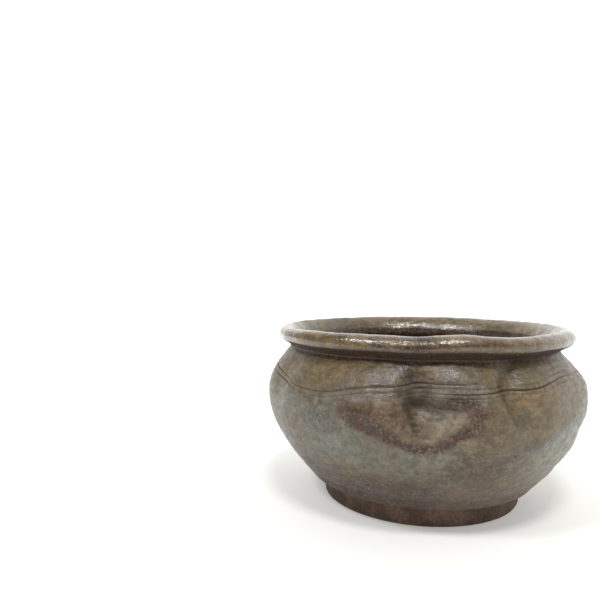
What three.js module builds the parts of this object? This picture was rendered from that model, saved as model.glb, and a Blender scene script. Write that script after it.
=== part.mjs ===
import * as THREE from "three";

// A stoneware waste water bowl of the Japanese tea room: a round bowl on a foot ring, with a
// pinched shoulder, a combed band round it and a rolled lip. Millimetres, +Z up, standing on its
// foot ring, with the side that has the deep thumb push towards -Y.
// The fired bowl was put together from four pieces of clay, and each is a solid of its own here:
// a foot ring, a base disc, a wall and a lip. They meet on level faces.

// Foot ring
const FOOT_RADIUS = 50.4;
const FOOT_HEIGHT = 10;
const FOOT_WALL = 8;
const FOOT_FLARE = 0.9;
const FOOT_BEVEL = 1.2;

// Base disc, which stands out over the foot ring
const HIP_RADIUS = 56.3;
const FLOOR_THICKNESS = 6.5;
const FLOOR_RADIUS = 50;

// Wall, from the base disc to the neck
const BELLY_RADIUS = 81;
const BELLY_HEIGHT = 55;
const WALL_THICKNESS = 6;
const NECK_RADIUS = 69;
const NECK_HEIGHT = 77.5;

// Rolled lip: how far its top stands over the neck, the size of the roll outside its crest, the
// height of the tuck under the roll, and how high over the neck its waves reach their full size
const LIP_RADIUS = 75.3;
const LIP_HEIGHT = 11.1;
const LIP_ROLL_WIDTH = 4.6;
const LIP_ROLL_HEIGHT = 8.2;
const LIP_TUCK = 1.4;
const LIP_WAVE_REACH = 3.5;

// Where the lip stands higher or lower than its top's level: the place and spread in degrees round
// from the front, and the rise in mm
const LIP_WAVES = [
  { azimuth: 0, spread: 30, rise: 0.15 },
  { azimuth: -2, spread: 7, rise: -0.5 },
  { azimuth: 14, spread: 7, rise: 0.55 },
  { azimuth: 35, spread: 9, rise: -0.7 },
];

// The lip was pressed flatter over the front push: its place and spread in degrees, and how far in
// and how far down from the lip's top it goes in mm
const LIP_PRESS = { azimuth: -4.5, spread: 22, depth: 3.5, down: 9 };

// The power that a push's depth falls off with, from its middle outwards: a firm edge stays deep for
// longer and then falls off steeply, and a folded one comes to a crease in its middle.
const SOFT_EDGE = 2;
const FIRM_EDGE = 2.8;
const FOLDED_EDGE = 1.3;

// Thumb pushes in the soft wall: where each is (degrees round from the front, and mm over the
// belly's widest level), how far it reaches each way (degrees round, and mm up or down), how far it
// goes in, and how it leans (degrees round per mm up). The thumb came in from the right, so the
// front push, the first one, ends in a steep side on its left. It has a firm edge at its sides and a
// fold along its middle. A push of less than 0 is clay that swelled beside one.
const PUSHES = [
  {
    azimuth: 0.5, over: 3.5, left: 5, right: 14.5, up: 6.5, down: 13, depth: 9, lean: -0.3,
    edge: FIRM_EDGE, fold: FOLDED_EDGE,
  },
  { azimuth: -0.5, over: 15, left: 4, right: 4.8, up: 5.5, down: 8, depth: 3.7, lean: 0 },
  { azimuth: 30.8, over: 16, left: 5.5, right: 4.4, up: 9, down: 9, depth: 3.8, lean: 0.3 },
  { azimuth: 31.3, over: 3, left: 5, right: 3.4, up: 9, down: 11, depth: 3.8, lean: -0.3 },
  { azimuth: 78, over: -12, left: 22, right: 16, up: 5.2, down: 5.5, depth: 1.15, lean: 0 },
  { azimuth: -58, over: 7, left: 9, right: 9, up: 12, down: 12, depth: 2.2, lean: 0.2 },
  { azimuth: 150, over: 5, left: 12, right: 5, up: 8, down: 12, depth: 5.5, lean: 0 },
  { azimuth: -128, over: 9, left: 5, right: 6, up: 10, down: 15, depth: 3.8, lean: 0.22 },
  { azimuth: -10, over: -1, left: 4.5, right: 4.5, up: 10, down: 11, depth: -1.6, lean: -0.2 },
  { azimuth: -16, over: 19, left: 7, right: 7, up: 6, down: 6, depth: -1.2, lean: 0 },
  { azimuth: 12.5, over: 19, left: 6.5, right: 7, up: 6, down: 5, depth: -1.8, lean: 0 },
  { azimuth: 40, over: 8, left: 5, right: 8, up: 9, down: 10, depth: -1.4, lean: -0.2 },
  { azimuth: 76, over: 9.5, left: 14, right: 16, up: 6, down: 6, depth: -1.15, lean: 0 },
  { azimuth: 78, over: -29, left: 18, right: 18, up: 2.2, down: 3, depth: 0.6, lean: 0 },
  { azimuth: 80, over: -35, left: 18, right: 18, up: 3, down: 6, depth: -1, lean: 0 },
  { azimuth: 78, over: 29, left: 25, right: 25, up: 8, down: 3.5, depth: -0.6, lean: 0 },
];

// Combed band: grooves drawn round the shoulder by hand. It turns at these places (degrees round
// from the front, and how far its upper edge is under the neck) and runs smoothly from one to the
// next.
const COMB_TURNS = [
  { azimuth: -180, under: 6 },
  { azimuth: -128, under: 10 },
  { azimuth: -80, under: 8 },
  { azimuth: -35, under: 13.3 },
  { azimuth: -10, under: 8.4 },
  { azimuth: 2, under: 6.8 },
  { azimuth: 27, under: 10.2 },
  { azimuth: 60, under: 6.8 },
  { azimuth: 118, under: 10 },
  { azimuth: 180, under: 6 },
];
const COMB_GROOVES = 3;
const GROOVE_PITCH = 1.9;
const GROOVE_DEPTH = 0.6;

// Facets
const AROUND = 120;
const BELLY_STEPS = 13;
const SHOULDER_STEPS = 3;
const INSIDE_STEPS = 16;
const ROLL_STEPS = 7;
const FLARE_STEPS = 6;

const FLOOR_HEIGHT = FOOT_HEIGHT + FLOOR_THICKNESS;
const LIP_TOP = NECK_HEIGHT + LIP_HEIGHT;
const CREST_RADIUS = LIP_RADIUS - LIP_ROLL_WIDTH;
const HALF_ROLL_HEIGHT = LIP_ROLL_HEIGHT / 2;

// The band's level before its turns are put in, and the level below which the wall knows nothing
// of them.
const COMB_LEVEL = NECK_HEIGHT - Math.min(...COMB_TURNS.map((turn) => turn.under)) - GROOVE_PITCH;
const COMB_FOOT_LEVEL = COMB_LEVEL - COMB_GROOVES * GROOVE_PITCH;
const COMB_FADE_LEVEL = (FLOOR_HEIGHT + BELLY_HEIGHT) / 2;

// Radius of the outside, from the hip over the belly to the neck.
function outerRadius(height) {
  if (height < BELLY_HEIGHT) {
    const share = (height - FOOT_HEIGHT) / (BELLY_HEIGHT - FOOT_HEIGHT);
    return HIP_RADIUS + (BELLY_RADIUS - HIP_RADIUS) * Math.sin((share * Math.PI) / 2);
  }
  const share = (height - BELLY_HEIGHT) / (NECK_HEIGHT - BELLY_HEIGHT);
  return NECK_RADIUS + (BELLY_RADIUS - NECK_RADIUS) * Math.cos((share * Math.PI) / 2);
}

// Radius of the inside, from the floor to the neck.
function innerRadius(height) {
  if (height < BELLY_HEIGHT) {
    const share = (height - FLOOR_HEIGHT) / (BELLY_HEIGHT - FLOOR_HEIGHT);
    const belly = BELLY_RADIUS - WALL_THICKNESS;
    return FLOOR_RADIUS + (belly - FLOOR_RADIUS) * Math.sin((share * Math.PI) / 2);
  }
  return outerRadius(height) - WALL_THICKNESS;
}

// Points of a radius function between two heights, both ends included.
function curvePoints(radiusAt, from, to, steps) {
  const points = [];
  for (let step = 0; step <= steps; step++) {
    const height = from + ((to - from) * step) / steps;
    points.push(new THREE.Vector2(radiusAt(height), height));
  }
  return points;
}

// How far the pushes and the press on the lip move the clay inwards at one place.
function pushDepth(azimuth, height) {
  const pressRound = (azimuth - LIP_PRESS.azimuth) / LIP_PRESS.spread;
  const pressDown = Math.min(height - LIP_TOP, 0) / LIP_PRESS.down;
  let depth = LIP_PRESS.depth * Math.exp(-(pressRound ** 2) - pressDown ** 2);
  for (const push of PUSHES) {
    const above = height - BELLY_HEIGHT - push.over;
    let round = azimuth - push.azimuth - push.lean * above;
    round = ((((round + 180) % 360) + 360) % 360) - 180;
    const sideways = Math.abs(round) / (round < 0 ? push.left : push.right);
    const upright = Math.abs(above) / (above < 0 ? push.down : push.up);
    const edge = sideways ** (push.edge ?? SOFT_EDGE);
    const fold = upright ** (push.fold ?? SOFT_EDGE);
    depth += push.depth * Math.exp(-edge - fold);
  }
  return depth;
}

// Height of the comb band's upper edge at one azimuth.
function combHeight(azimuth) {
  const next = COMB_TURNS.findIndex((turn, index) => index > 0 && azimuth <= turn.azimuth);
  const before = COMB_TURNS[next - 1];
  const after = COMB_TURNS[next];
  const share = (azimuth - before.azimuth) / (after.azimuth - before.azimuth);
  const under = before.under + ((after.under - before.under) * (1 - Math.cos(share * Math.PI))) / 2;
  return NECK_HEIGHT - under;
}

// Height of one level of the wall's outside at one azimuth, as the comb band bends it.
function bentHeight(azimuth, level) {
  const fromBelow = THREE.MathUtils.smoothstep(level, COMB_FADE_LEVEL, COMB_FOOT_LEVEL);
  const fromAbove = Math.min((NECK_HEIGHT - level) / (NECK_HEIGHT - COMB_LEVEL), 1);
  return level + (combHeight(azimuth) - COMB_LEVEL) * fromBelow * fromAbove;
}

// How far the lip's waves lift it at one place. The level joint at the neck doesn't move.
function lipRise(azimuth, height) {
  const share = THREE.MathUtils.smoothstep(height, NECK_HEIGHT, NECK_HEIGHT + LIP_WAVE_REACH);
  let rise = 0;
  for (const wave of LIP_WAVES) {
    rise += wave.rise * Math.exp(-(((azimuth - wave.azimuth) / wave.spread) ** 2));
  }
  return rise * share;
}

// Turns a closed profile round the axis, and then works the soft clay into its hand-made shape.
// A point that has a cut is on the wall's outside: it follows the comb, and lies that deep.
function turned(profile) {
  const closed = [...profile, profile[0]];
  const geometry = new THREE.LatheGeometry(closed, AROUND);
  geometry.rotateX(Math.PI / 2);
  const place = geometry.getAttribute("position");
  for (let i = 0; i < place.count; i++) {
    const point = closed[i % closed.length];
    const azimuth = THREE.MathUtils.radToDeg(Math.atan2(place.getX(i), -place.getY(i)));
    let height = point.y;
    let radius = point.x;
    if (point.cut !== undefined) {
      height = bentHeight(azimuth, point.y);
      radius = outerRadius(height) - point.cut;
    }
    const share = point.x > 0 ? (radius - pushDepth(azimuth, height)) / point.x : 1;
    const raised = height + lipRise(azimuth, height);
    place.setXYZ(i, place.getX(i) * share, place.getY(i) * share, raised);
  }
  geometry.computeVertexNormals();
  return geometry;
}

function clayMesh(name, profile, color, roughness) {
  const material = new THREE.MeshStandardMaterial({ color, roughness, metalness: 0 });
  const mesh = new THREE.Mesh(turned(profile), material);
  mesh.name = name;
  return mesh;
}

// Foot ring: bevelled where it stands, and flared a little towards the base disc.
function footRing() {
  const inner = FOOT_RADIUS - FOOT_WALL;
  const profile = [
    new THREE.Vector2(inner + FOOT_BEVEL, 0),
    new THREE.Vector2(FOOT_RADIUS - FOOT_BEVEL, 0),
    new THREE.Vector2(FOOT_RADIUS, FOOT_BEVEL),
    new THREE.Vector2(FOOT_RADIUS + FOOT_FLARE, FOOT_HEIGHT),
    new THREE.Vector2(inner, FOOT_HEIGHT),
    new THREE.Vector2(inner, FOOT_BEVEL),
  ];
  return clayMesh("foot_ring", profile, 0x4d3a34, 0.8);
}

// Base disc: the floor of the bowl, with its edge on the curve of the outside.
function baseDisc() {
  const edge = curvePoints(outerRadius, FOOT_HEIGHT, FLOOR_HEIGHT, 3);
  const profile = [new THREE.Vector2(0, FOOT_HEIGHT), ...edge, new THREE.Vector2(0, FLOOR_HEIGHT)];
  return clayMesh("base_disc", profile, 0x655750, 0.7);
}

// Levels of the comb band from the bottom up: a ridge, and then each groove and its upper ridge.
function combPoints() {
  const points = [];
  for (let half = 1; half < COMB_GROOVES * 2; half++) {
    const level = COMB_FOOT_LEVEL + (half * GROOVE_PITCH) / 2;
    const point = new THREE.Vector2(outerRadius(level), level);
    point.cut = half % 2 ? GROOVE_DEPTH : 0;
    points.push(point);
  }
  return points;
}

// Wall: belly and shoulder, between the base disc and the neck, with the comb band round it.
function wall() {
  const belly = curvePoints(outerRadius, FLOOR_HEIGHT, COMB_FOOT_LEVEL, BELLY_STEPS);
  const shoulder = curvePoints(outerRadius, COMB_LEVEL, NECK_HEIGHT, SHOULDER_STEPS);
  for (const point of [...belly, ...shoulder]) {
    point.cut = 0;
  }
  const inside = curvePoints(innerRadius, FLOOR_HEIGHT, NECK_HEIGHT, INSIDE_STEPS).reverse();
  return clayMesh("wall", [...belly, ...combPoints(), ...shoulder, ...inside], 0x6b645a, 0.45);
}

// Lip: clay on the neck that flares inside, and is folded outwards into a roll over the shoulder.
function lip() {
  const innerNeck = NECK_RADIUS - WALL_THICKNESS;
  const profile = [
    new THREE.Vector2(innerNeck, NECK_HEIGHT),
    new THREE.Vector2(NECK_RADIUS, NECK_HEIGHT),
    new THREE.Vector2(NECK_RADIUS, NECK_HEIGHT + LIP_TUCK),
  ];
  const under = THREE.MathUtils.degToRad(-42);
  const crest = THREE.MathUtils.degToRad(90);
  for (let step = 0; step <= ROLL_STEPS; step++) {
    const angle = under + ((crest - under) * step) / ROLL_STEPS;
    const radius = CREST_RADIUS + LIP_ROLL_WIDTH * Math.cos(angle);
    const height = LIP_TOP - HALF_ROLL_HEIGHT + HALF_ROLL_HEIGHT * Math.sin(angle);
    profile.push(new THREE.Vector2(radius, height));
  }
  for (let step = 1; step < FLARE_STEPS; step++) {
    const share = step / FLARE_STEPS;
    const radius = innerNeck + (CREST_RADIUS - innerNeck) * (1 - share) ** 1.6;
    profile.push(new THREE.Vector2(radius, LIP_TOP - LIP_HEIGHT * share ** 1.35));
  }
  return clayMesh("lip", profile, 0x7c7157, 0.4);
}

const bowl = new THREE.Group();
bowl.name = "waste_water_bowl";
bowl.add(footRing(), baseDisc(), wall(), lip());

// The pushes leave the bowl a little off its axis, so it is centred on its own outline.
const outline = new THREE.Box3().setFromObject(bowl, true);
const centre = outline.getCenter(new THREE.Vector3());
bowl.position.set(-centre.x, -centre.y, 0);

export default bowl;
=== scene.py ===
import math

import bpy
import numpy as np
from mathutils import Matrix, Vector


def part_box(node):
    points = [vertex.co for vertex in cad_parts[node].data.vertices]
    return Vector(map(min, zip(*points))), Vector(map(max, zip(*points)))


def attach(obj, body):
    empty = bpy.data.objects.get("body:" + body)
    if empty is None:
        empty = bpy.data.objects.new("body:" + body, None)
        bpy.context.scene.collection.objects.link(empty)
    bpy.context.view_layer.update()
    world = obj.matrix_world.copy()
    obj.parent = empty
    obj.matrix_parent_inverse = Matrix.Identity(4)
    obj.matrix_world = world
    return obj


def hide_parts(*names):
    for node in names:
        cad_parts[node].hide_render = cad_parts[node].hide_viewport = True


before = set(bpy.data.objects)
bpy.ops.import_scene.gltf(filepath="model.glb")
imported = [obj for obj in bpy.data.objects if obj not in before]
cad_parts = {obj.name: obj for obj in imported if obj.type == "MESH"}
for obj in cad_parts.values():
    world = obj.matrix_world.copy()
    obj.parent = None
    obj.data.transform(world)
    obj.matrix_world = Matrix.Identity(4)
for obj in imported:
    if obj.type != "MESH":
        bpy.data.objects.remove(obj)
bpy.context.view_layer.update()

# View. A camera 30 cm from the bowl and a little above its lip looks past it to the left, so the
# bowl stands at the right of the picture.
FOOT_LOW, FOOT_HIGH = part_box("foot_ring")
AXIS = Vector(((FOOT_LOW.x + FOOT_HIGH.x) / 2, (FOOT_LOW.y + FOOT_HIGH.y) / 2, 0))
CAMERA_DISTANCE = 0.3045
CAMERA_HEIGHT = 0.1103
FOCAL_SHARE = 553 / 600
SENSOR_WIDTH = 36
LOOK_LEFT = math.radians(12.19)
LOOK_DOWN = math.radians(1.62)
CLOSEST_SEEN = 0.01

camera_data = bpy.data.cameras.new("camera")
camera_data.sensor_width = SENSOR_WIDTH
camera_data.lens = FOCAL_SHARE * SENSOR_WIDTH
camera_data.clip_start = CLOSEST_SEEN
camera = bpy.data.objects.new("camera", camera_data)
bpy.context.scene.collection.objects.link(camera)
camera.location = AXIS + Vector((0, -CAMERA_DISTANCE, CAMERA_HEIGHT))
level_look = Vector((-math.sin(LOOK_LEFT), math.cos(LOOK_LEFT), -math.tan(LOOK_DOWN)))
camera.rotation_mode = "QUATERNION"
camera.rotation_quaternion = level_look.to_track_quat("-Z", "Y")
bpy.context.scene.camera = camera
bpy.context.scene.view_settings.view_transform = "Standard"

# Studio. A pale table that fades into a white surround, brightest behind the bowl. Two small lamps
# stand high in front of it, one to each side.
SURROUND = (1.0, 1.0, 0.975, 1)
BACK_LIGHT = 1.35
FRONT_LIGHT = 0.35
# The way to the brightest part of the surround, and where it starts and stops growing brighter,
# from -1 straight in front to 1 straight behind.
TO_BRIGHTEST = (0.42, 0.91, 0)
BRIGHTER_FROM = -0.1
BRIGHTER_TO = 0.7
LAMP_AIM = Vector((0, 0, 0.05))
TABLE_SIZE = 12
TABLE = (0.84, 0.84, 0.82, 1)
# The table's paper glows more and more between these two distances from the bowl.
NEAR_GLOW = 0.27
FAR_GLOW = 0.8
NEAR_DISTANCE = 0.08
FAR_DISTANCE = 0.6


def add_lamp(name, place, wide, high, watts):
    lamp_data = bpy.data.lights.new(name, "AREA")
    lamp_data.shape = "ELLIPSE"
    lamp_data.size = wide
    lamp_data.size_y = high
    lamp_data.energy = watts
    lamp = bpy.data.objects.new(name, lamp_data)
    bpy.context.scene.collection.objects.link(lamp)
    lamp.location = place
    lamp.rotation_mode = "QUATERNION"
    lamp.rotation_quaternion = (LAMP_AIM - lamp.location).to_track_quat("-Z", "Y")


add_lamp("front_right", (0.13, -0.58, 1.06), 0.3, 0.18, 5)
add_lamp("front_left", (-0.47, -0.57, 0.93), 0.28, 0.16, 3.8)

world = bpy.data.worlds.new("surround")
bpy.context.scene.world = world
world.use_nodes = True
nodes, links = world.node_tree.nodes, world.node_tree.links
behind = nodes.new("ShaderNodeVectorMath")
behind.operation = "DOT_PRODUCT"
behind.inputs[1].default_value = TO_BRIGHTEST
links.new(nodes.new("ShaderNodeTexCoord").outputs["Generated"], behind.inputs[0])
from_behind = nodes.new("ShaderNodeMapRange")
from_behind.interpolation_type = "SMOOTHSTEP"
from_behind.inputs["From Min"].default_value = BRIGHTER_FROM
from_behind.inputs["From Max"].default_value = BRIGHTER_TO
from_behind.inputs["To Min"].default_value = FRONT_LIGHT
from_behind.inputs["To Max"].default_value = BACK_LIGHT
links.new(behind.outputs["Value"], from_behind.inputs["Value"])
# The camera never sees the surround darker than white.
brightest = nodes.new("ShaderNodeMath")
brightest.operation = "MAXIMUM"
links.new(from_behind.outputs["Result"], brightest.inputs[0])
links.new(nodes.new("ShaderNodeLightPath").outputs["Is Camera Ray"], brightest.inputs[1])
surround = nodes["Background"]
surround.inputs["Color"].default_value = SURROUND
links.new(brightest.outputs["Value"], surround.inputs["Strength"])

# The table's glow shows to the camera and in reflections, but doesn't light the bowl.
half = TABLE_SIZE / 2
table_mesh = bpy.data.meshes.new("table")
corners = [(-half, -half, 0), (half, -half, 0), (half, half, 0), (-half, half, 0)]
table_mesh.from_pydata(corners, [], [(0, 1, 2, 3)])
table = bpy.data.objects.new("table", table_mesh)
bpy.context.scene.collection.objects.link(table)
table_paint = bpy.data.materials.new("table_paper")
table_paint.use_nodes = True
nodes, links = table_paint.node_tree.nodes, table_paint.node_tree.links
paper = nodes["Principled BSDF"]
paper.inputs["Base Color"].default_value = TABLE
paper.inputs["Roughness"].default_value = 0.8
paper.inputs["Specular IOR Level"].default_value = 0.1
glow = nodes.new("ShaderNodeEmission")
glow.inputs["Color"].default_value = SURROUND
rays = nodes.new("ShaderNodeLightPath")
distance = nodes.new("ShaderNodeVectorMath")
distance.operation = "LENGTH"
links.new(nodes.new("ShaderNodeTexCoord").outputs["Object"], distance.inputs[0])
fade = nodes.new("ShaderNodeMapRange")
fade.interpolation_type = "SMOOTHSTEP"
fade.inputs["From Min"].default_value = NEAR_DISTANCE
fade.inputs["From Max"].default_value = FAR_DISTANCE
fade.inputs["To Min"].default_value = NEAR_GLOW
fade.inputs["To Max"].default_value = FAR_GLOW
links.new(distance.outputs["Value"], fade.inputs["Value"])
seen = nodes.new("ShaderNodeMath")
seen.operation = "MAXIMUM"
links.new(rays.outputs["Is Camera Ray"], seen.inputs[0])
links.new(rays.outputs["Is Glossy Ray"], seen.inputs[1])
glow_strength = nodes.new("ShaderNodeMath")
glow_strength.operation = "MULTIPLY"
links.new(seen.outputs["Value"], glow_strength.inputs[0])
links.new(fade.outputs["Result"], glow_strength.inputs[1])
links.new(glow_strength.outputs["Value"], glow.inputs["Strength"])
table_sum = nodes.new("ShaderNodeAddShader")
links.new(paper.outputs["BSDF"], table_sum.inputs[0])
links.new(glow.outputs["Emission"], table_sum.inputs[1])
links.new(table_sum.outputs["Shader"], nodes["Material Output"].inputs["Surface"])
table_mesh.materials.append(table_paint)

# Base disc, wall and lip. Three pieces of coarse stoneware clay, worked into one another on the
# wheel: the wall was pushed in with the thumb while soft, a comb was drawn round the shoulder, and
# the lip was rolled outwards. Wood ash melted on it in the kiln.
MM = 0.001
COLUMNS = 576
FOOT_HEIGHT = 10
HIP_RADIUS = 56.3
FLOOR_HEIGHT = 16.5
FLOOR_RADIUS = 50
BELLY_RADIUS = 81
BELLY_HEIGHT = 55
WALL_THICKNESS = 6
NECK_RADIUS = 69
NECK_HEIGHT = 77.5
LIP_RADIUS = 75.3
ROLL_HALF_WIDTH = 4.6
ROLL_HEIGHT = 8.2
LIP_TOP = 88.6
# Each push: degrees round from the front, height, reach left, right, up and down, depth, and lean.
# A negative depth is clay that swelled beside a push.
PUSHES = [
    (0.5, 58.5, 5, 14.5, 6.5, 13, 9, -0.3),
    (-0.5, 70, 4, 4.8, 5.5, 8, 3.7, 0),
    (30.8, 71, 5.5, 4.4, 9, 9, 3.8, 0.3),
    (31.3, 58, 5, 3.4, 9, 11, 3.8, -0.3),
    (78, 43, 22, 16, 5.2, 5.5, 1.15, 0),
    (-58, 62, 9, 9, 12, 12, 2.2, 0.2),
    (150, 60, 12, 5, 8, 12, 5.5, 0),
    (-128, 64, 5, 6, 10, 15, 3.8, 0.22),
    (-10, 54, 4.5, 4.5, 10, 11, -1.6, -0.2),
    (-16, 74, 7, 7, 6, 6, -1.2, 0),
    (12.5, 74, 6.5, 7, 6, 5, -1.8, 0),
    (40, 63, 5, 8, 9, 10, -1.4, -0.2),
    (76, 64.5, 14, 16, 6, 6, -1.15, 0),
    (78, 26, 18, 18, 2.2, 3, 0.6, 0),
    (80, 20, 18, 18, 3, 6, -1, 0),
    (78, 84, 25, 25, 8, 3.5, -0.6, 0),
]
# The power that a push's depth falls off with, from its middle outwards. The first push has a firm
# edge at its sides and a fold along its middle, and the others are soft all round.
SOFT = 2
FIRM_ACROSS = 2.8
FOLDED_UP = 1.3
# Where the lip stands higher or lower: degrees round from the front, spread, and rise.
LIP_WAVES = [(0, 30, 0.15), (-2, 7, -0.5), (14, 7, 0.55), (35, 9, -0.7)]
# How high over the neck these waves reach their full size.
LIP_WAVE_REACH = 3.5
# The lip was pressed flatter over the front: degrees round, spread, reach down, and depth.
LIP_PRESS = (-4.5, 22, 9, 3.5)
# Where the comb's path turns: degrees round from the front, and height.
COMB_TURNS = [
    (-180, 70.5), (-128, 66.5), (-80, 68.5), (-35, 63.2), (-10, 68.1), (2, 69.7), (27, 66.3),
    (60, 69.7), (118, 66.5), (180, 70.5),
]
# The band's upper and lower level before its turns are put in, and the level below which the wall
# knows nothing of them.
COMB_LEVEL = 69.7
COMB_FOOT_LEVEL = 64
COMB_FADE_LEVEL = 35.75
# Each comb tooth: how far it runs below the path, how deep it cuts, and how hard it bit (0 to 1)
# at five places round the bowl. The comb slipped upwards over the front push, so the path follows
# the first tooth on the left of it and the third tooth on the right.
COMB_TEETH = [
    (0, 0.62, (1, 0.55, 0.5, 0, 0.2)),
    (2, 0.5, (0.75, 0.8, 1, 0.15, 0.35)),
    (4, 0.46, (0, 0.35, 1, 0.95, 0.5)),
    (5.7, 0.4, (0, 0.1, 0.7, 0.45, 0.3)),
    (7.1, 0.36, (0, 0, 0.8, 0, 0)),
]
BITE_PLACES = (-16, -3, 12, 29, 60)
TOOTH_WIDTH = 0.35
COMB_SLIP = 4
# The clay's unevenness: how high it stands, how wide its lumps are, and which lumps they are. The
# wheel marks lie round the bowl, so their lumps are drawn out that way.
CLAY_LUMPS = [(0.2, 14, 1), (0.1, 5, 2), (0.05, 1.8, 3)]
WHEEL_MARKS = [(0.09, 2.3, 4), (0.05, 0.9, 5)]
WHEEL_STRETCH = (0.12, 0.12, 1)
LIP_LUMPS = [(0.25, 22, 6), (0.1, 8, 7)]


def lattice(ix, iy, iz, seed):
    """A fixed number from -1 to 1 for each corner of a grid of cells."""
    mixed = (ix * 374761393 + iy * 668265263 + iz * 2147483647 + seed * 1274126177) & 0xFFFFFFFF
    mixed = ((mixed ^ (mixed >> 13)) * 1103515245 + 12345) & 0xFFFFFFFF
    return ((mixed ^ (mixed >> 16)) & 0xFFFF) / 32767.5 - 1


def lumps(points, size, seed):
    """Smooth noise from -1 to 1 at each point, with lumps of about the given size."""
    scaled = points / size
    cell = np.floor(scaled).astype(np.int64)
    part = scaled - cell
    part = part * part * (3 - 2 * part)
    total = np.zeros(len(points))
    for corner in range(8):
        step = np.array((corner & 1, corner >> 1 & 1, corner >> 2 & 1))
        share = np.prod(np.where(step, part, 1 - part), axis=1)
        total += share * lattice(*(cell + step).T, seed)
    return total


def ramp(value, low, high):
    """0 up to low, 1 from high on, and a soft step from one to the other."""
    share = np.clip((value - low) / (high - low), 0, 1)
    return share * share * (3 - 2 * share)


def outer_radius(height):
    """Radius of the outside, from the hip over the belly to the neck."""
    below = (height - FOOT_HEIGHT) / (BELLY_HEIGHT - FOOT_HEIGHT)
    above = (height - BELLY_HEIGHT) / (NECK_HEIGHT - BELLY_HEIGHT)
    low = HIP_RADIUS + (BELLY_RADIUS - HIP_RADIUS) * np.sin(below * math.pi / 2)
    high = NECK_RADIUS + (BELLY_RADIUS - NECK_RADIUS) * np.cos(above * math.pi / 2)
    return np.where(height < BELLY_HEIGHT, low, high)


def inner_radius(height):
    """Radius of the inside, from the floor to the neck."""
    belly = BELLY_RADIUS - WALL_THICKNESS
    below = (height - FLOOR_HEIGHT) / (BELLY_HEIGHT - FLOOR_HEIGHT)
    low = FLOOR_RADIUS + (belly - FLOOR_RADIUS) * np.sin(below * math.pi / 2)
    return np.where(height < BELLY_HEIGHT, low, outer_radius(height) - WALL_THICKNESS)


def respaced(line, spacing):
    """Points along a line, as far apart as spacing says for each place."""
    line = np.array(line, float)
    run = np.concatenate([[0], np.cumsum(np.hypot(*np.diff(line, axis=0).T))])
    at, made = 0.0, []
    while at < run[-1]:
        made.append((np.interp(at, run, line[:, 0]), np.interp(at, run, line[:, 1])))
        at += spacing(*made[-1])
    return np.array(made + [tuple(line[-1])])


def body_profile():
    """The section, from the middle of the underside round the lip to the middle of the floor."""
    line = [(0, FOOT_HEIGHT), (HIP_RADIUS - 2.2, FOOT_HEIGHT)]
    line += [(HIP_RADIUS - 0.9, FOOT_HEIGHT + 0.15), (HIP_RADIUS - 0.1, FOOT_HEIGHT + 0.7)]
    line += [(outer_radius(h), h) for h in np.linspace(FOOT_HEIGHT + 1.2, NECK_HEIGHT - 0.2, 90)]
    line += [(NECK_RADIUS - 0.3, NECK_HEIGHT + 0.6), (NECK_RADIUS + 0.2, NECK_HEIGHT + 1.4)]
    for degrees in np.linspace(-42, 90, 30):
        angle = math.radians(degrees)
        across = LIP_RADIUS - ROLL_HALF_WIDTH * (1 - math.cos(angle))
        line.append((across, LIP_TOP - ROLL_HEIGHT / 2 * (1 - math.sin(angle))))
    inner_neck = NECK_RADIUS - WALL_THICKNESS
    for share in np.linspace(0.05, 1, 24):
        across = inner_neck + (LIP_RADIUS - ROLL_HALF_WIDTH - inner_neck) * (1 - share) ** 1.6
        line.append((across, LIP_TOP - (LIP_TOP - NECK_HEIGHT) * share**1.35))
    line += [(inner_radius(h), h) for h in np.linspace(NECK_HEIGHT - 1, FLOOR_HEIGHT + 3, 70)]
    line += [(FLOOR_RADIUS - 2, FLOOR_HEIGHT + 0.6), (FLOOR_RADIUS - 8, FLOOR_HEIGHT)]
    return line + [(0, FLOOR_HEIGHT)]


def body_spacing(radius, height):
    """How far apart the rings lie: close on the outside, and closest over the comb band."""
    if radius < outer_radius(height) - 2:
        return 1.8 if height > FLOOR_HEIGHT else 2.5
    return 0.25 if COMB_FOOT_LEVEL - 2 < height < COMB_LEVEL + 2 else 0.7


def push_depth(azimuth, height):
    """How far the pushes and the press on the lip move the clay inwards at each place."""
    depth = np.zeros_like(azimuth)
    for index, (centre, level, left, right, up, down, deep, lean) in enumerate(PUSHES):
        across, upwards = (SOFT, SOFT) if index else (FIRM_ACROSS, FOLDED_UP)
        above = height - level
        around = (azimuth - centre - lean * above + 180) % 360 - 180
        sideways = around / np.where(around < 0, left, right)
        upright = above / np.where(above < 0, down, up)
        depth += deep * np.exp(-(np.abs(sideways) ** across) - np.abs(upright) ** upwards)
    centre, spread, down, deep = LIP_PRESS
    pressed = ((azimuth - centre) / spread) ** 2 + (np.minimum(height - LIP_TOP, 0) / down) ** 2
    return depth + deep * np.exp(-pressed)


def comb_height(azimuth):
    """Height of the comb's path at each azimuth."""
    turns = np.array(COMB_TURNS)
    index = np.clip(np.searchsorted(turns[:, 0], azimuth) - 1, 0, len(turns) - 2)
    share = (azimuth - turns[index, 0]) / (turns[index + 1, 0] - turns[index, 0])
    step = turns[index + 1, 1] - turns[index, 1]
    return turns[index, 1] + step * (1 - np.cos(share * math.pi)) / 2


profile = respaced(body_profile(), body_spacing)[1:-1]
rows = len(profile)
top_row = int(np.argmax(profile[:, 1]))
along = np.gradient(profile, axis=0)
along /= np.linalg.norm(along, axis=1)[:, None]
angles = np.linspace(-180, 180, COLUMNS, endpoint=False)


def grid(values):
    """A value for each ring, given to all the points of that ring."""
    return np.repeat(values, COLUMNS)


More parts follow.
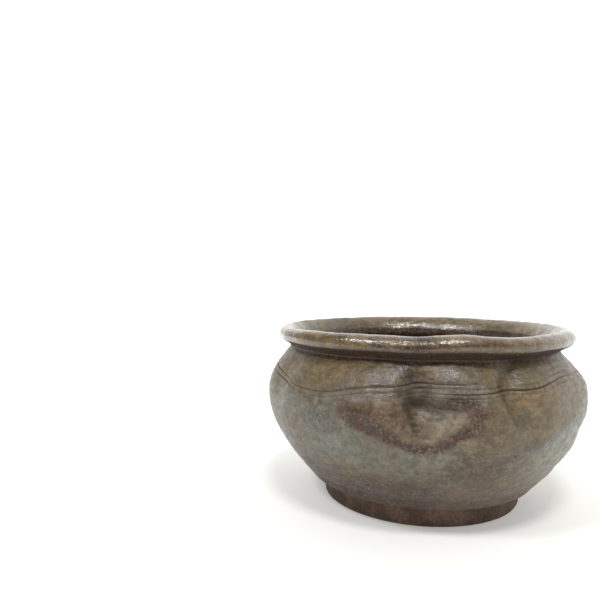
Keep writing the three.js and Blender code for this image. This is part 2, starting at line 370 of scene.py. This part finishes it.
azimuth = np.tile(angles, rows)
turn = np.radians(azimuth)
level = grid(profile[:, 1])
outside = grid(np.arange(rows) < top_row)
on_wall = outside & (level < NECK_HEIGHT)
on_lip = level > NECK_HEIGHT + 1
on_roll = level > NECK_HEIGHT + 2.5

# The wall's outer rows bend with the comb's path, so that each groove has rows of its own.
bend = ramp(level, COMB_FADE_LEVEL, COMB_FOOT_LEVEL)
bend *= np.minimum((NECK_HEIGHT - level) / (NECK_HEIGHT - COMB_LEVEL), 1)
height = np.where(on_wall, level + (comb_height(azimuth) - COMB_LEVEL) * bend, level)
radius = grid(profile[:, 0]) + np.where(on_wall, outer_radius(height) - outer_radius(level), 0)
spot = np.stack([radius * np.sin(turn), -radius * np.cos(turn), height], 1)
level_spot = spot * (1, 1, 0)

relief = sum(up * lumps(spot, wide, seed) for up, wide, seed in CLAY_LUMPS)
relief += sum(up * lumps(spot * WHEEL_STRETCH, wide, seed) for up, wide, seed in WHEEL_MARKS)
lip_relief = sum(up * lumps(spot, wide, seed) for up, wide, seed in LIP_LUMPS)
lip_relief += np.where(outside, 0.06 * lumps(spot * (1, 1, 0.3), 2.6, 8), 0.14 * lumps(spot, 4, 9))
relief += np.where(on_lip, lip_relief, 0)

# Each tooth wanders a little, presses unevenly, and raises a thin burr over its groove.
cut = np.zeros(len(spot))
for index, (below, deep, bites) in enumerate(COMB_TEETH):
    wander = 0.3 * lumps(level_spot, 15, 10 + index)
    slip = COMB_SLIP * ramp(azimuth, 0, 28) * ramp(-azimuth, -175, -90)
    offset = (height - (comb_height(azimuth) - below + slip + wander)) / TOOTH_WIDTH
    press = np.clip(0.75 + 0.45 * lumps(level_spot, 20, 20 + index), 0.2, 1)
    press *= deep * np.interp(azimuth, BITE_PLACES, bites, period=360)
    cut += press * (np.exp(-(offset**2)) - 0.3 * np.exp(-((offset - 2) ** 2)))
cut = np.where(on_wall, cut, 0)
relief -= cut
# The underside, which sits on the foot ring, stays nearly flat.
relief *= np.where(level < FOOT_HEIGHT + 0.5, 0.1, 1)

push = push_depth(azimuth, height)
rise = sum(up * np.exp(-(((azimuth - at) / spread) ** 2)) for at, spread, up in LIP_WAVES)
rise *= ramp(height, NECK_HEIGHT, NECK_HEIGHT + LIP_WAVE_REACH)
made_radius = radius - push + relief * grid(along[:, 1])
made_height = height + rise - relief * grid(along[:, 0])
made = np.stack([made_radius * np.sin(turn), -made_radius * np.cos(turn), made_height], 1)
made = made * MM + np.array(AXIS)

# One set of normals for the whole skin, so that no seam shows where it is cut into pieces.
surface = made.reshape(rows, COLUMNS, 3)
up_section = np.gradient(surface, axis=0)
round_ring = np.roll(surface, -1, axis=1) - np.roll(surface, 1, axis=1)
normals = np.cross(round_ring, up_section)
normals /= np.linalg.norm(normals, axis=2)[..., None]


def near(path, around, height):
    """Distance in mm from each place to a path of (around, height) points."""
    nearest = np.full(len(around), 1e3)
    for (x0, y0), (x1, y1) in zip(path, path[1:]):
        length = (x1 - x0) ** 2 + (y1 - y0) ** 2
        share = ((around - x0) * (x1 - x0) + (height - y0) * (y1 - y0)) / length
        share = np.clip(share, 0, 1)
        gap = np.hypot(around - x0 - share * (x1 - x0), height - y0 - share * (y1 - y0))
        nearest = np.minimum(nearest, gap)
    return nearest


# The surface's marks, from 0 to 1 at each place. Iron is the dark red-brown flash round the push,
# and it also carries painted shade; rust is the light crumbs in it. Olive and grey are two kinds
# of melted ash, and grey also carries a painted sheen low on the right. Pink is clay that was left
# bare. Places are given in mm round the belly from the front, and in mm of height.
FLASH = [
    (-36, 56.2), (-29, 52.7), (-19, 50), (-9, 46.4), (0.5, 42.9), (7.5, 42.8), (12.5, 45.4),
    (20, 50.5),
]
FLASH_END = [(15, 62.5), (22, 62), (25.5, 57.5), (23, 52.5)]
around = turn * BELLY_RADIUS
# The far side, where the marks of the left and of the right run into one another.
back = ramp(np.abs(azimuth), 115, 165)
blotch = lumps(spot, 17, 31)
fleck = lumps(spot, 5, 32)
crumb = lumps(spot, 1.6, 33)

# The flash: a line under the push with soft edges, and a wide end on its right.
flash_rise = height - np.interp(around, *zip(*FLASH))
flash_reach = np.where(flash_rise < 0, 1.7, 2.4 + 5 * ramp(-around, 6, 20))
flash = 1.3 * np.exp(-((flash_rise / flash_reach + 0.3 * fleck) ** 2))
flash *= ramp(around, -37, -28) * ramp(-around, -25, -20)
flash_end = near(FLASH_END, around, height) / 3.4 + 0.3 * fleck
flash = np.maximum(flash, 1.05 * np.exp(-(flash_end**2)))
rust = np.where(on_wall, flash * ramp(around, -18, -8), 0)

# Iron and painted shade: iron in the flash and in stray blotches; painted shade low on the left
# front and at the top of the push, whose upper wall faces down; darker towards the bottom round the
# foot; a painted dark reflection along the lower front of the lip, and a stain at its middle; and
# inside, iron with painted shade below the lip.
iron_and_shade = flash * (0.8 + 0.3 * crumb + 0.2 * fleck) + 0.35 * ramp(blotch + 0.5 * fleck, 0.3, 1)
# Painted shade: the low left front lay on the side that got least light.
iron_and_shade += 0.5 * ramp(-height, -30, -24) * ramp(-azimuth, -14, 2) * (1 - back)
iron_and_shade += 0.15 * ramp(-height, -25, -19)
# Painted shade on the push's upper wall, which faces down.
iron_and_shade += 0.4 * np.exp(-((near([(5, 61.5), (15, 61)], around, height) / 2.6) ** 2))
lip_iron_and_shade = 0.18 + 0.3 * blotch + 0.2 * fleck
# A painted dark reflection along the lower half of the lip's front.
lip_iron_and_shade += 0.5 * ramp(-height, -85.5, -82.5) * np.exp(-((azimuth / 20) ** 2))
lip_iron_and_shade += 0.35 * np.exp(-((azimuth / 5) ** 2))
iron_and_shade = np.where(on_roll, lip_iron_and_shade, iron_and_shade)
# Inside: iron all over, and painted shade below the lip.
iron_and_shade = np.where(outside, iron_and_shade, 0.12 + 0.7 * ramp(-level, -79.2, -77.8) + 0.25 * blotch)

# Olive: on the right front, on the left shoulder, in stray patches, in a band low at the left front,
# and on the lip.
olive = ramp(azimuth, 14, 28) * ramp(-azimuth, -80, -55) * ramp(height, 38, 48)
olive += 0.9 * ramp(-azimuth, 10, 30) * ramp(height, 58, 66)
olive += back * (0.5 + 0.3 * blotch - olive)
olive = olive * (0.85 + 0.3 * blotch) + 0.35 * ramp(lumps(spot, 12, 34), 0.1, 0.8)
low_band = np.exp(-((near([(-42, 18), (-20, 23.5), (4, 25)], around, height) / 4) ** 2))
olive += 0.6 * low_band
iron_and_shade += 0.16 * low_band
olive = np.where(on_lip, 0.45 + 0.3 * fleck, olive)

# Grey and sheen: grey under the flash and to its left, and a painted sheen low on the right with a
# slanting top edge.
below_flash = ramp(-flash_rise, 0, 4) + ramp(-around, 34, 40)
grey_and_sheen = np.minimum(below_flash, 1) * ramp(height, 26, 38) * ramp(-height, -66, -60)
grey_and_sheen *= ramp(-around, -26, -6) * 0.9 + 0.1
grey_and_sheen *= 0.75 + 0.55 * lumps(spot, 15, 35) + 0.2 * fleck
grey_and_sheen *= 1 - 0.45 * ramp(-around, 36, 56)
grey_and_sheen += 0.35 * np.exp(-((near([(-44, 44), (-22, 40)], around, height) / 7) ** 2))
grey_and_sheen += back * (0.45 + 0.5 * lumps(spot, 15, 35) - grey_and_sheen)
# The painted sheen low on the right, below a slanting edge.
sheen_edge = 48 + 0.36 * (around - 65)
right_sheen = ramp(around, 36, 58) * ramp(height, 25, 36) * ramp(sheen_edge - height, -2, 3)
right_sheen *= ramp(-around, -160, -110)
grey_and_sheen += 0.85 * right_sheen
olive *= 1 - right_sheen

# Pink: low round the foot, and left of the push.
pink = ramp(-height, -30, -18) * (0.8 + 0.4 * blotch)
pink += 0.8 * np.exp(-((near([(-32, 58), (-14, 60), (-9, 52)], around, height) / 6) ** 2))

# Painted shade in the hollows and creases, partly also dark glaze pooled there, under the lip on
# the right, and round one pinhole: where it lies, its reach, and how dark it is.
SHADE_POOLS = [
    ([(-1.5, 71.5), (-0.5, 66)], 5, 0.5),
    ([(-3.5, 63), (-2, 61), (1, 61.5)], 3.9, 0.95),
    ([(-6.2, 62), (-5.2, 59), (-2.4, 53), (-0.8, 49.8)], 1, 0.65),
    ([(42.5, 74), (40.3, 71)], 2.6, 0.4),
    ([(39.8, 71), (37.5, 66.8)], 3.6, 0.75),
    ([(38, 67), (38.1, 63)], 2.6, 0.75),
    ([(38.1, 63), (38.8, 58.5)], 2, 0.6),
    ([(38.8, 58), (44, 51)], 1.6, 0.35),
    ([(42.4, 39.8), (42.7, 39.9)], 0.6, 1),
    ([(54, 77), (78, 73)], 6, 0.3),
    ([(45, 74), (49, 70)], 3.2, 0.35),
]
pooled_shade = np.zeros(len(spot))
for path, reach, share in SHADE_POOLS:
    pooled_shade = np.maximum(pooled_shade, share * np.exp(-((near(path, around, height) / reach) ** 2)))

# Painted shade and dirt: darker in the comb's grooves, painted shade in the pools and in the tuck
# under the lip, which darkens the iron mark too, and a stain at the lip's front.
shade_and_dirt = np.clip(cut / 0.32, 0, 1) + pooled_shade * (1 + 0.25 * fleck)
under_lip_shade = ramp(level, NECK_HEIGHT - 1.2, NECK_HEIGHT + 1) * ramp(-level, -82.6, -81.8)
shade_and_dirt += 0.6 * under_lip_shade + np.where(on_roll, 0.3 * np.exp(-((azimuth / 4) ** 2)), 0)
iron_and_shade = np.maximum(iron_and_shade, under_lip_shade)

# Painted light: lighter colour on the lit floor of the push and the lit swellings beside the
# creases, a painted sheen on the right side, and a painted highlight along the top of the lip.
PAINTED_LIGHT = [
    ([(5, 48.5), (10, 52.5), (17, 56)], 4.2, 0.58),
    ([(13, 66), (25, 66)], 4.5, 0.7),
    ([(16, 73), (24, 73)], 4, 0.4),
    ([(50, 66), (52, 60)], 5, 0.15),
    ([(-36, 62), (-17, 63.5)], 2.6, 0.5),
    ([(64, 42), (78, 44), (76, 32)], 8, 0.6),
    ([(90, 47), (97, 42), (97, 33)], 7, 0.85),
    ([(-34, 87), (-8, 87.3), (27, 87.2)], 1.8, 0.65),
]
painted_light = np.zeros(len(spot))
for path, reach, share in PAINTED_LIGHT:
    painted_light = np.maximum(painted_light, share * np.exp(-((near(path, around, height) / reach) ** 2)))
painted_light *= 1 + 0.4 * fleck

MARKS = {
    "iron_and_shade": iron_and_shade, "olive": olive, "grey_and_sheen": grey_and_sheen, "pink": pink, "shade_and_dirt": shade_and_dirt, "painted_light": painted_light, "rust": rust,
}
# What the inside has in place of the outside's marks: painted shade at its left back, and painted
# light round the back.
INSIDE = {
    "grey_and_sheen": 0.15,
    "pink": 0,
    "shade_and_dirt": 0.35 * ramp(-azimuth, 80, 110) * ramp(azimuth, -160, -140),
    "painted_light": 0.3 * ramp(np.abs(azimuth), 110, 150),
}
for name, inner in INSIDE.items():
    MARKS[name] = np.where(outside, MARKS[name], inner)


def rgb(red, green, blue):
    """A colour as the shader wants it, from how it looks on a screen, 0 to 255."""
    shares = [value / 255 for value in (red, green, blue)]
    return (*[v / 12.92 if v <= 0.04045 else ((v + 0.055) / 1.055) ** 2.4 for v in shares], 1)


class Paint:
    """A material's node tree, with short names for the nodes that are used again and again."""

    def __init__(self, name):
        self.material = bpy.data.materials.new(name)
        self.material.use_nodes = True
        self.tree = self.material.node_tree
        self.shader = self.tree.nodes["Principled BSDF"]
        self.place = self.tree.nodes.new("ShaderNodeTexCoord").outputs["Object"]

    def put(self, value, socket):
        if hasattr(value, "is_output"):
            self.tree.links.new(value, socket)
        else:
            socket.default_value = value

    def noise(self, size_mm, detail, stretch=1.0):
        """Noise with lumps of about this size, which a stretch over 1 makes flatter."""
        vector = self.place
        if stretch != 1:
            mapping = self.tree.nodes.new("ShaderNodeMapping")
            mapping.inputs["Scale"].default_value = (1, 1, stretch)
            self.put(vector, mapping.inputs["Vector"])
            vector = mapping.outputs["Vector"]
        node = self.tree.nodes.new("ShaderNodeTexNoise")
        node.inputs["Scale"].default_value = 1 / (size_mm * MM)
        node.inputs["Detail"].default_value = detail
        self.put(vector, node.inputs["Vector"])
        return node.outputs["Fac"]

    def between(self, value, low, high, out_low=0.0, out_high=1.0):
        """A soft step from out_low to out_high while the value goes from low to high."""
        node = self.tree.nodes.new("ShaderNodeMapRange")
        node.interpolation_type = "SMOOTHSTEP"
        self.put(value, node.inputs["Value"])
        node.inputs["From Min"].default_value = low
        node.inputs["From Max"].default_value = high
        node.inputs["To Min"].default_value = out_low
        node.inputs["To Max"].default_value = out_high
        return node.outputs["Result"]

    def maths(self, operation, first, second):
        node = self.tree.nodes.new("ShaderNodeMath")
        node.operation = operation
        self.put(first, node.inputs[0])
        self.put(second, node.inputs[1])
        return node.outputs["Value"]

    def over(self, below, above, share, blend="MIX"):
        """One colour laid over another, as thickly as the share says."""
        node = self.tree.nodes.new("ShaderNodeMix")
        node.data_type = "RGBA"
        node.blend_type = blend
        node.clamp_factor = True
        self.put(share, node.inputs[0])
        self.put(below, node.inputs[6])
        self.put(above, node.inputs[7])
        return node.outputs[2]

    def mark(self, name):
        """How strong one of the marks, painted light and shade among them, is at each place."""
        node = self.tree.nodes.new("ShaderNodeAttribute")
        node.attribute_name = name
        return node.outputs["Fac"]

    def bump(self, height, depth_mm, strength):
        """Fine unevenness, in the clay and in the clear glaze over it."""
        node = self.tree.nodes.new("ShaderNodeBump")
        node.inputs["Strength"].default_value = strength
        node.inputs["Distance"].default_value = depth_mm * MM
        self.put(height, node.inputs["Height"])
        self.put(node.outputs["Normal"], self.shader.inputs["Normal"])
        self.put(node.outputs["Normal"], self.shader.inputs["Coat Normal"])


# Two tints that drift over the whole body.
WARM = (0.59, 0.5, 0.37, 1)
COOL = (0.44, 0.51, 0.62, 1)


def fired_clay(name, dull, bright, roughness, coat):
    """Clay with melted ash: two colours in streaks, the marks with painted light and shade, a clear
    glaze.
    """
    paint = Paint(name)
    streaks = paint.noise(6, 5, 4)
    patches = paint.noise(16, 4)
    grain = paint.noise(1.1, 4)
    crumbs = paint.noise(1.4, 1)
    painted_glints = paint.noise(0.9, 1)
    colour = paint.over(dull, bright, paint.between(streaks, 0.4, 0.62))
    dark_patch = paint.maths("MULTIPLY", paint.between(patches, 0.5, 0.66), 0.55)
    colour = paint.over(colour, rgb(74, 62, 52), dark_patch)
    # Each mark's colour; the red-brown also paints shade, the grey a sheen, the pale tone light.
    for mark, tone, low, high in (
        ("olive", rgb(113, 97, 65), 0.6, 1.0),
        ("grey_and_sheen", rgb(120, 121, 109), 0.7, 1.0),
        ("pink", rgb(94, 73, 54), 0.75, 1.0),
        ("painted_light", rgb(148, 139, 123), 0.45, 1.1),
        ("iron_and_shade", rgb(58, 33, 19), 0.5, 1.5),
    ):
        uneven = paint.between(grain, 0.38, 0.6, low, high)
        colour = paint.over(colour, tone, paint.maths("MULTIPLY", paint.mark(mark), uneven))
    for size_mm, share in ((1.7, 0.18), (4, 0.26)):
        mottle = paint.between(paint.noise(size_mm, 1), 0.25, 0.75)
        colour = paint.over(colour, mottle, share, "OVERLAY")
    for size_mm, share in ((7, 0.15), (20, 0.3)):
        tint = paint.over(WARM, COOL, paint.between(paint.noise(size_mm, 1), 0.35, 0.65))
        colour = paint.over(colour, tint, share, "OVERLAY")
    # Painted shade in the hollows, creases and under the lip, darker comb grooves, and a lip stain.
    colour = paint.over(colour, rgb(43, 32, 25), paint.maths("MULTIPLY", paint.mark("shade_and_dirt"), 0.85))
    # Dark pits, pale frost where no iron, painted shade or dirt lies, rust crumbs, and a few pale
    # specks as painted glints.
    unmarked = paint.maths("SUBTRACT", 1, paint.maths("MAXIMUM", paint.mark("iron_and_shade"), paint.mark("shade_and_dirt")))
    pits = paint.maths("MULTIPLY", paint.between(grain, 0.56, 0.7), 0.5)
    colour = paint.over(colour, rgb(54, 47, 41), pits)
    frost = paint.maths("MULTIPLY", paint.between(grain, 0.42, 0.3, 0, 0.38), unmarked)
    colour = paint.over(colour, rgb(148, 143, 130), frost)
    rust = paint.maths("MULTIPLY", paint.between(crumbs, 0.56, 0.68, 0, 0.6), paint.mark("rust"))
    colour = paint.over(colour, rgb(142, 110, 76), rust)
    colour = paint.over(colour, rgb(194, 176, 144), paint.between(painted_glints, 0.75, 0.8, 0, 0.8))
    paint.put(colour, paint.shader.inputs["Base Color"])
    shine = paint.between(streaks, 0.35, 0.65, roughness - 0.08, roughness + 0.12)
    shine = paint.maths("MAXIMUM", shine, paint.mark("shade_and_dirt"))
    paint.put(shine, paint.shader.inputs["Roughness"])
    clear = paint.maths("SUBTRACT", coat, paint.maths("MULTIPLY", paint.mark("shade_and_dirt"), 2 * coat))
    paint.put(clear, paint.shader.inputs["Coat Weight"])
    paint.shader.inputs["Coat Roughness"].default_value = 0.15
    drips = paint.noise(0.9, 2, 0.35)
    paint.bump(paint.maths("ADD", grain, drips), 0.3, 0.5)
    return paint.material


def skin(name, spans, fans):
    """A piece of the body: bands of rings, and fans that close it at the axis."""
    faces, points, piece_normals, source = [], [], [], []
    column = np.arange(COLUMNS)
    following = (column + 1) % COLUMNS
    for first, last in spans:
        start = len(points) * COLUMNS
        for row in range(first, last + 1):
            points.append(surface[row])
            piece_normals.append(normals[row])
            source.append(np.arange(row * COLUMNS, (row + 1) * COLUMNS))
        for row in range(last - first):
            low = start + row * COLUMNS
            ring = [low + column, low + following, low + COLUMNS + following, low + COLUMNS + column]
            faces += np.stack(ring, 1).tolist()
    points, piece_normals = np.concatenate(points), np.concatenate(piece_normals)
    source = np.concatenate(source)
    for row, height, facing in fans:
        centre = len(points)
        points = np.vstack([points, np.array(AXIS) + (0, 0, height * MM)])
        piece_normals = np.vstack([piece_normals, (0, 0, facing)])
        source = np.append(source, row * COLUMNS)
        ring = np.flatnonzero(source[:centre] // COLUMNS == row)
        pairs = zip(ring, np.roll(ring, -1))
        faces += [(centre, *(pair if facing > 0 else pair[::-1])) for pair in pairs]
    mesh = bpy.data.meshes.new(name)
    mesh.from_pydata(points.tolist(), [], faces)
    mesh.shade_smooth()
    mesh.normals_split_custom_set_from_vertices(piece_normals.tolist())
    for mark, values in MARKS.items():
        layer = mesh.attributes.new(mark, "FLOAT", "POINT")
        layer.data.foreach_set("value", np.clip(values[source], 0, 1).astype(np.float32))
    made_piece = bpy.data.objects.new(name, mesh)
    bpy.context.scene.collection.objects.link(made_piece)
    return made_piece


hip_row = int(np.argmax(profile[:, 1] > FLOOR_HEIGHT))
neck_row = int(np.argmax(profile[:, 1] > NECK_HEIGHT))
inner_neck_row = rows - 1 - int(np.argmax(profile[::-1, 1] > NECK_HEIGHT))
floor_row = rows - 1 - int(np.argmax(profile[::-1, 0] > FLOOR_RADIUS))
# Name, node, slot, the bands of rings, the fans, and the look: its two colours, roughness and coat.
BODY_PIECES = [
    (
        "base", "base_disc", "flashed_clay",
        [(0, hip_row), (floor_row, rows - 1)],
        [(0, FOOT_HEIGHT, -1), (rows - 1, FLOOR_HEIGHT, 1)],
        (rgb(90, 76, 60), rgb(120, 105, 84), 0.5, 0),
    ),
    (
        "glazed_wall", "wall", "ash_glazed_clay",
        [(hip_row, neck_row), (inner_neck_row, floor_row)],
        [],
        (rgb(88, 74, 58), rgb(117, 102, 80), 0.42, 0.15),
    ),
    (
        "rolled_lip", "lip", "lip_glaze",
        [(neck_row, inner_neck_row)],
        [],
        (rgb(97, 74, 33), rgb(127, 101, 50), 0.24, 0.85),
    ),
]
for name, node, slot, spans, fans, look in BODY_PIECES:
    piece = skin(name, spans, fans)
    piece.data.materials.append(fired_clay(slot, *look))
    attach(piece, "root")
    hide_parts(node)

# Foot ring. A coil of clay luted under the base, turned true and left bare: dark red-brown, matt,
# with turning lines round it and soft worn edges where it stands.
FOOT_RADIUS = 50.4
FOOT_WALL = 8
FOOT_FLARE = 0.9
FOOT_INNER = FOOT_RADIUS - FOOT_WALL
FOOT_SPACING = 0.6
# The edge that it stands on is worn round: how far in the curve starts, and where its middle lies.
WORN = 1.2
WORN_MIDDLE = 0.35
# Its top reaches a little into the base, where the two clays were worked together.
FOOT_TOP = FOOT_HEIGHT + 0.3
foot_line = [
    (FOOT_INNER + WORN, 0), (FOOT_RADIUS - WORN, 0),
    (FOOT_RADIUS - WORN_MIDDLE, WORN_MIDDLE), (FOOT_RADIUS, WORN),
    (FOOT_RADIUS + FOOT_FLARE, FOOT_TOP), (FOOT_INNER, FOOT_TOP),
    (FOOT_INNER, WORN), (FOOT_INNER + WORN_MIDDLE, WORN_MIDDLE), (FOOT_INNER + WORN, 0),
]
foot_profile = respaced(foot_line, lambda radius, height: FOOT_SPACING)[:-1]
foot_rows = len(foot_profile)
foot_turn = np.radians(np.tile(angles, foot_rows))
foot_radius, foot_height = grid(foot_profile[:, 0]), grid(foot_profile[:, 1])
foot_spot = [foot_radius * np.sin(foot_turn), -foot_radius * np.cos(foot_turn), foot_height]
foot_spot = np.stack(foot_spot, 1)
wear = 0.2 * lumps(foot_spot, 9, 41) + 0.08 * lumps(foot_spot, 2.2, 42)
wear += 0.08 * lumps(foot_spot * WHEEL_STRETCH, 1.1, 43)
wear *= ramp(foot_height, 0.1, 1.5)
foot_radius += np.where(foot_radius > FOOT_RADIUS - FOOT_WALL / 2, wear, -wear)
foot_made = [foot_radius * np.sin(foot_turn), -foot_radius * np.cos(foot_turn), foot_height]
foot_made = np.stack(foot_made, 1) * MM + np.array(AXIS)
foot_faces = []
column = np.arange(COLUMNS)
following = (column + 1) % COLUMNS
for row in range(foot_rows):
    low, high = row * COLUMNS, (row + 1) % foot_rows * COLUMNS
    ring = [low + column, low + following, high + following, high + column]
    foot_faces += np.stack(ring, 1).tolist()
foot_mesh = bpy.data.meshes.new("foot")
foot_mesh.from_pydata(foot_made.tolist(), [], foot_faces)
foot_mesh.shade_smooth()
foot = bpy.data.objects.new("foot", foot_mesh)
bpy.context.scene.collection.objects.link(foot)

bare = Paint("bare_clay")
patches = bare.noise(9, 4)
grit = bare.noise(1.0, 4)
colour = bare.over(rgb(94, 73, 61), rgb(120, 98, 84), bare.between(patches, 0.4, 0.62))
colour = bare.over(colour, rgb(48, 36, 30), bare.maths("MULTIPLY", bare.between(grit, 0.5, 0.64), 0.45))
colour = bare.over(colour, rgb(122, 100, 86), bare.maths("MULTIPLY", bare.between(grit, 0.42, 0.32), 0.3))
bare.put(colour, bare.shader.inputs["Base Color"])
bare.shader.inputs["Roughness"].default_value = 0.7
bare.shader.inputs["Specular IOR Level"].default_value = 0.35
bare.bump(grit, 0.35, 0.6)
foot_mesh.materials.append(bare.material)
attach(foot, "root")
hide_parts("foot_ring")
